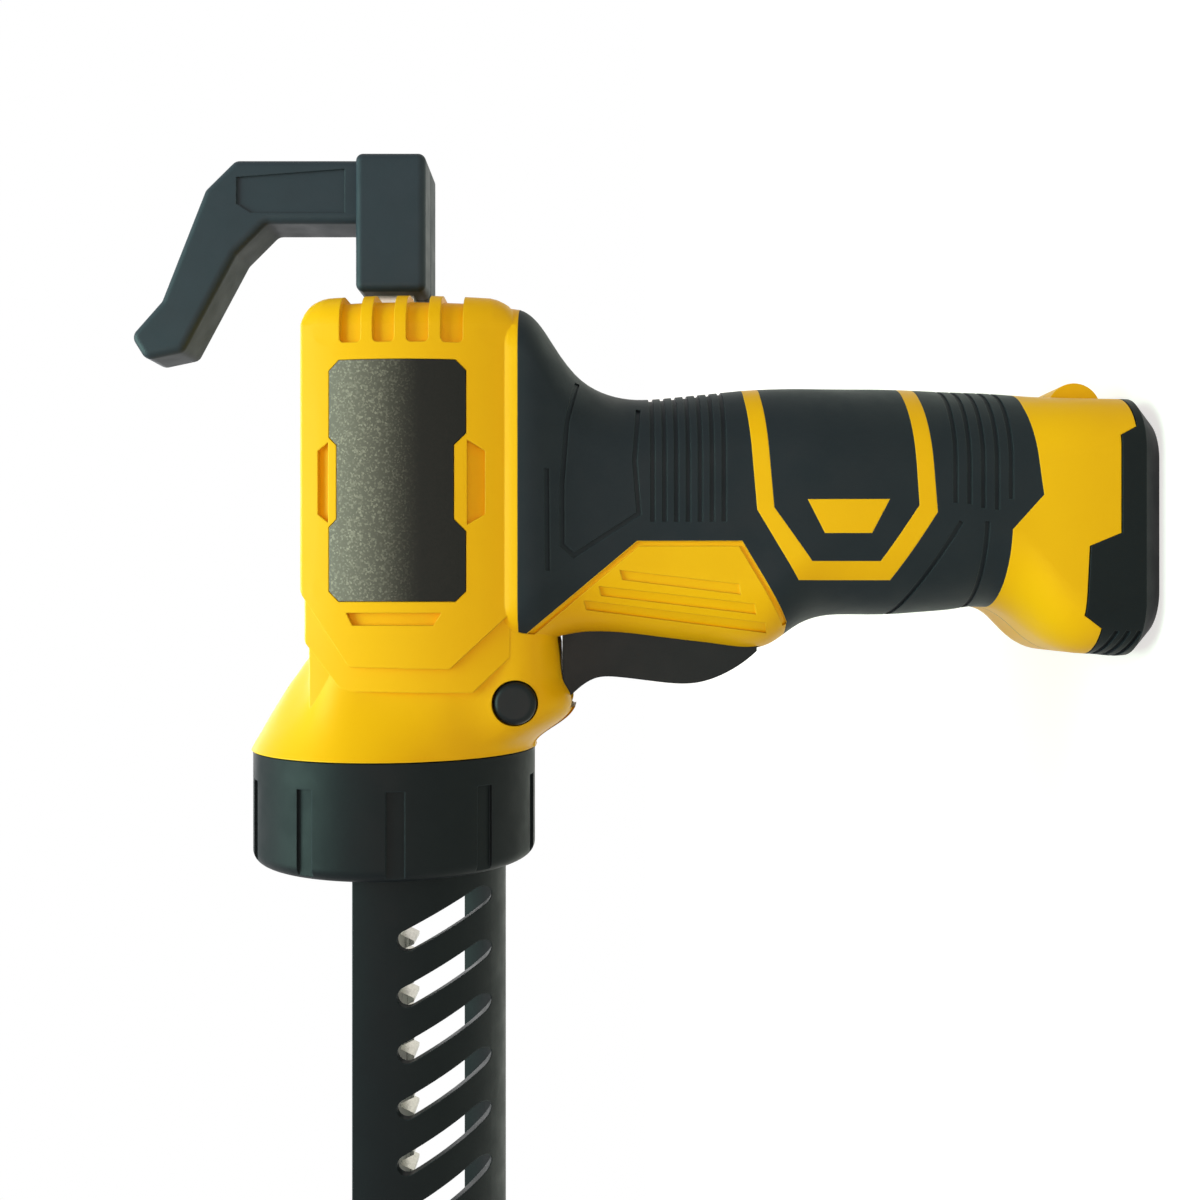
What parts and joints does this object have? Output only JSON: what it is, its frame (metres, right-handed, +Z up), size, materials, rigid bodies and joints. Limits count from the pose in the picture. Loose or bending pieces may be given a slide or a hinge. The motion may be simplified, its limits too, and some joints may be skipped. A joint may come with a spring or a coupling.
{
  "type": "cordless caulking gun",
  "caption": "Battery powered caulking gun: a pistol grip body drives a toothed rack with a push plate along an open half-round cartridge cradle held by a turning collar.",
  "frame": {"origin": "at the middle of the grip, in the plane of symmetry, where a closed hand holds the tool", "axes": "+X points back toward the pull hook and -X along the barrel to the nose, +Z points up the grip to the barrel, and -Y is the side the picture shows"},
  "size_m": [0.3762, 0.0698, 0.2446],
  "materials": {
    "body_plastic": "moulded amber-yellow plastic, fine grain",
    "grip_rubber": "black moulded rubber, ribbed",
    "plate_dark": "dark plate with a fine sparkle, left bare",
    "black_plastic": "dark slate glass-filled plastic",
    "latch_plastic": "moulded amber-yellow plastic",
    "rack_steel": "bright plated steel",
    "bolt_steel": "plain steel",
    "shaft_steel": "ground steel",
    "gear_steel": "sintered steel",
    "bearing_brass": "sintered bronze",
    "guide_plastic": "black acetal",
    "gearbox_alloy": "die cast alloy",
    "motor_steel": "drawn steel",
    "magnet_black": "ferrite",
    "board_green": "circuit board",
    "cell_sleeve": "shrink sleeve"
  },
  "bodies": {
    "housing": {"left_housing": "body_plastic", "right_housing": "body_plastic", "left_grip": "grip_rubber", "right_grip": "grip_rubber", "left_plate": "plate_dark", "right_plate": "plate_dark", "housing_screws": "bolt_steel", "rear_rack_guide": "guide_plastic", "front_rack_guide": "guide_plastic", "left_bearing": "bearing_brass", "right_bearing": "bearing_brass", "gearbox_case": "gearbox_alloy", "gearbox_cover": "gearbox_alloy", "motor_can": "motor_steel", "motor_magnets": "magnet_black", "switch": "guide_plastic", "control_board": "board_green", "contact_block": "guide_plastic", "cradle_seat": "guide_plastic"},
    "rack_unit": {"rack": "rack_steel", "pull_hook": "black_plastic", "hook_pin": "bolt_steel", "push_plate": "rack_steel", "plunger_screw": "bolt_steel"},
    "pinion_unit": {"rack_pinion": "shaft_steel", "cross_shaft": "shaft_steel", "clutch_disc": "gear_steel"},
    "bevel_gear": {"bevel_gear": "shaft_steel"},
    "rotor": {"motor_rotor": "motor_steel", "sun_gear": "shaft_steel"},
    "carrier_1": {"carrier_1": "gear_steel"},
    "planet_1a": {"planet_1a": "gear_steel"},
    "planet_1b": {"planet_1b": "gear_steel"},
    "planet_1c": {"planet_1c": "gear_steel"},
    "carrier_2": {"carrier_2": "gear_steel", "bevel_pinion": "shaft_steel"},
    "planet_2a": {"planet_2a": "gear_steel"},
    "planet_2b": {"planet_2b": "gear_steel"},
    "planet_2c": {"planet_2c": "gear_steel"},
    "trigger": {"trigger": "black_plastic", "trigger_spring": "bolt_steel"},
    "push_button": {"push_button": "black_plastic"},
    "collar": {"collar": "black_plastic"},
    "barrel": {"barrel": "black_plastic"},
    "battery": {"battery_case": "black_plastic", "battery_cells": "cell_sleeve"},
    "battery_latch": {"battery_latch": "latch_plastic"}
  },
  "joints": [
    {"name": "rack_slide", "type": "slide", "parent": "housing", "child": "rack_unit", "axis": [1, 0, 0], "range_m": [0, 0.205]},
    {"name": "pinion_spin", "type": "hinge", "parent": "housing", "child": "pinion_unit", "pos_m": [0.002, 0, 0.0935], "axis": [0, 1, 0], "range_deg": [0, 1306]},
    {"name": "motor_spin", "type": "hinge", "parent": "housing", "child": "rotor", "pos_m": [0.002, 0, 0.05], "axis": [0, 0, 1], "continuous": true},
    {"name": "carrier_1_spin", "type": "hinge", "parent": "housing", "child": "carrier_1", "pos_m": [0.002, 0, 0.05], "axis": [0, 0, 1], "continuous": true},
    {"name": "carrier_2_spin", "type": "hinge", "parent": "housing", "child": "carrier_2", "pos_m": [0.002, 0, 0.05], "axis": [0, 0, 1], "continuous": true},
    {"name": "bevel_gear_spin", "type": "hinge", "parent": "housing", "child": "bevel_gear", "pos_m": [0.002, 0, 0.0935], "axis": [0, 1, 0], "continuous": true},
    {"name": "trigger_slide", "type": "slide", "parent": "housing", "child": "trigger", "axis": [1, 0, 0], "range_m": [0, 0.006], "stiffness_N_per_m": 800, "springref_m": -0.003},
    {"name": "button_slide", "type": "slide", "parent": "housing", "child": "push_button", "axis": [0, 1, 0], "range_m": [0, 0.003]},
    {"name": "collar_turn", "type": "hinge", "parent": "housing", "child": "collar", "pos_m": [-0.07, 0, 0.106], "axis": [1, 0, 0], "range_deg": [0, 60]},
    {"name": "barrel_swivel", "type": "hinge", "parent": "housing", "child": "barrel", "pos_m": [-0.07, 0, 0.106], "axis": [1, 0, 0], "continuous": true},
    {"name": "battery_slide", "type": "slide", "parent": "housing", "child": "battery", "axis": [0, 0, -1], "range_m": [0, 0.08]},
    {"name": "latch_slide", "type": "slide", "parent": "housing", "child": "battery_latch", "axis": [-1, 0, 0], "range_m": [0, 0.0015], "stiffness_N_per_m": 600, "springref_m": -0.002},
    {"name": "planet_1a_spin", "type": "hinge", "parent": "carrier_1", "child": "planet_1a", "pos_m": [0.011, 0, 0.0544], "axis": [0, 0, 1], "continuous": true},
    {"name": "planet_1b_spin", "type": "hinge", "parent": "carrier_1", "child": "planet_1b", "pos_m": [-0.0025, 0.00779, 0.0544], "axis": [0, 0, 1], "continuous": true},
    {"name": "planet_1c_spin", "type": "hinge", "parent": "carrier_1", "child": "planet_1c", "pos_m": [-0.0025, -0.00779, 0.0544], "axis": [0, 0, 1], "continuous": true},
    {"name": "planet_2a_spin", "type": "hinge", "parent": "carrier_2", "child": "planet_2a", "pos_m": [0.011, 0, 0.0635], "axis": [0, 0, 1], "continuous": true},
    {"name": "planet_2b_spin", "type": "hinge", "parent": "carrier_2", "child": "planet_2b", "pos_m": [-0.0025, 0.00779, 0.0635], "axis": [0, 0, 1], "continuous": true},
    {"name": "planet_2c_spin", "type": "hinge", "parent": "carrier_2", "child": "planet_2c", "pos_m": [-0.0025, -0.00779, 0.0635], "axis": [0, 0, 1], "continuous": true}
  ],
  "couplings": [
    {"joint": "pinion_spin", "follows": "rack_slide", "rad_per_m": 111.11},
    {"joint": "carrier_1_spin", "follows": "motor_spin", "ratio": 0.2},
    {"joint": "carrier_2_spin", "follows": "motor_spin", "ratio": 0.04},
    {"joint": "bevel_gear_spin", "follows": "motor_spin", "ratio": 0.02},
    {"joint": "planet_1a_spin", "follows": "motor_spin", "ratio": -0.53333},
    {"joint": "planet_1b_spin", "follows": "motor_spin", "ratio": -0.53333},
    {"joint": "planet_1c_spin", "follows": "motor_spin", "ratio": -0.53333},
    {"joint": "planet_2a_spin", "follows": "motor_spin", "ratio": -0.10667},
    {"joint": "planet_2b_spin", "follows": "motor_spin", "ratio": -0.10667},
    {"joint": "planet_2c_spin", "follows": "motor_spin", "ratio": -0.10667}
  ]
}
